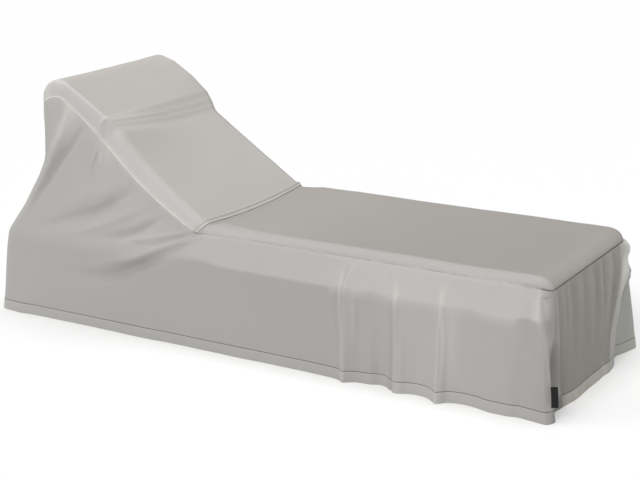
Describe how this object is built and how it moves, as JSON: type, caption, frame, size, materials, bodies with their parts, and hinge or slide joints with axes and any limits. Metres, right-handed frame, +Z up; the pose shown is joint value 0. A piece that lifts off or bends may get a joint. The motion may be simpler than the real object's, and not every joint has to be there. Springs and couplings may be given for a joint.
{
  "type": "sun lounger cover",
  "caption": "Fitted grey cloth cover for a sun lounger with its back raised, hanging to the floor all round, with a tuck at the crease, a hem and a blank tab.",
  "frame": {"origin": "middle of the seat, on the underside of the cloth, where the cover rests on the lounger", "axes": "+X towards the foot, +Y towards the far long side, +Z up"},
  "size_m": [2.2419, 0.8693, 0.8743],
  "materials": {
    "seat_cloth": "matte woven",
    "back_cloth": "matte woven",
    "tuck_cloth": "matte woven",
    "near_side_cloth": "matte woven",
    "far_side_cloth": "matte woven",
    "foot_cloth": "matte woven",
    "head_cloth": "matte woven",
    "tab_cloth": "matte"
  },
  "bodies": {
    "root": {"seat_panel": "seat_cloth", "back_panel": "back_cloth", "crease_tuck": "tuck_cloth", "near_side_panel": "near_side_cloth", "far_side_panel": "far_side_cloth", "foot_end_panel": "foot_cloth", "head_end_panel": "head_cloth", "label_tab": "tab_cloth"}
  },
  "joints": []
}
